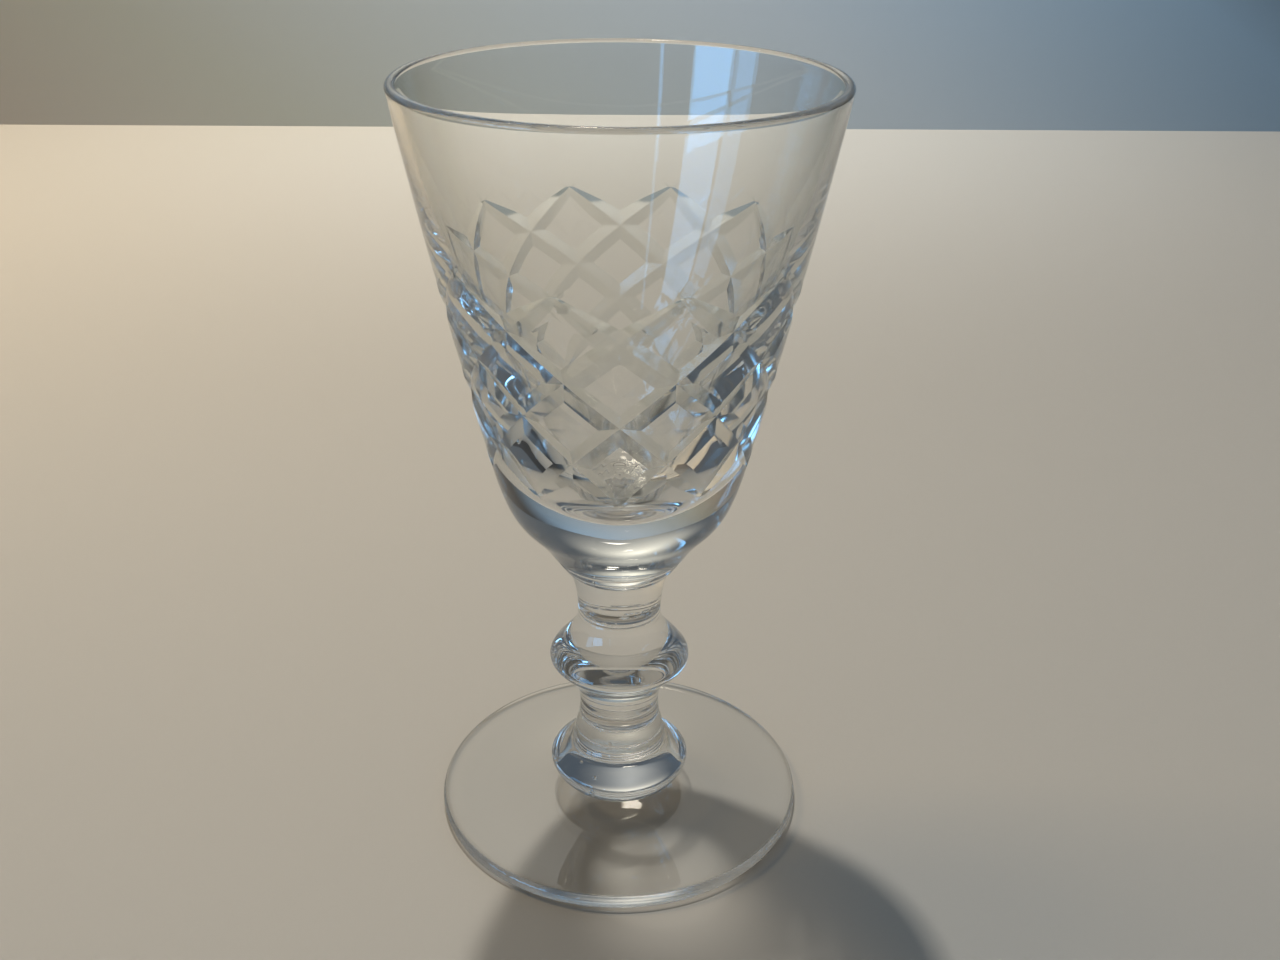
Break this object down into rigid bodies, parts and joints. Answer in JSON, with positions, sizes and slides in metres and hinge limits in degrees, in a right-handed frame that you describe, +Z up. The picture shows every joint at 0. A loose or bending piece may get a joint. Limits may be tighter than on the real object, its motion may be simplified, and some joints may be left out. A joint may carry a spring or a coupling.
{
  "type": "schnapps glass",
  "caption": "Small clear stem glass with a cone-shaped bowl cut in a diamond lattice, a knopped stem and a round foot, for a measure of spirits.",
  "frame": {"origin": "middle of the plane that the foot stands on", "axes": "+Z up along the stem's axis, -Y towards the picture's camera, +X to its right"},
  "size_m": [0.0472, 0.0472, 0.09],
  "materials": {
    "clear_glass": "fire-polished clear glass with polished mitre cuts"
  },
  "bodies": {
    "root": {"foot": "clear_glass", "base_knop": "clear_glass", "lower_neck": "clear_glass", "ring_knop": "clear_glass", "upper_neck": "clear_glass", "collar": "clear_glass", "bowl": "clear_glass"}
  },
  "joints": []
}
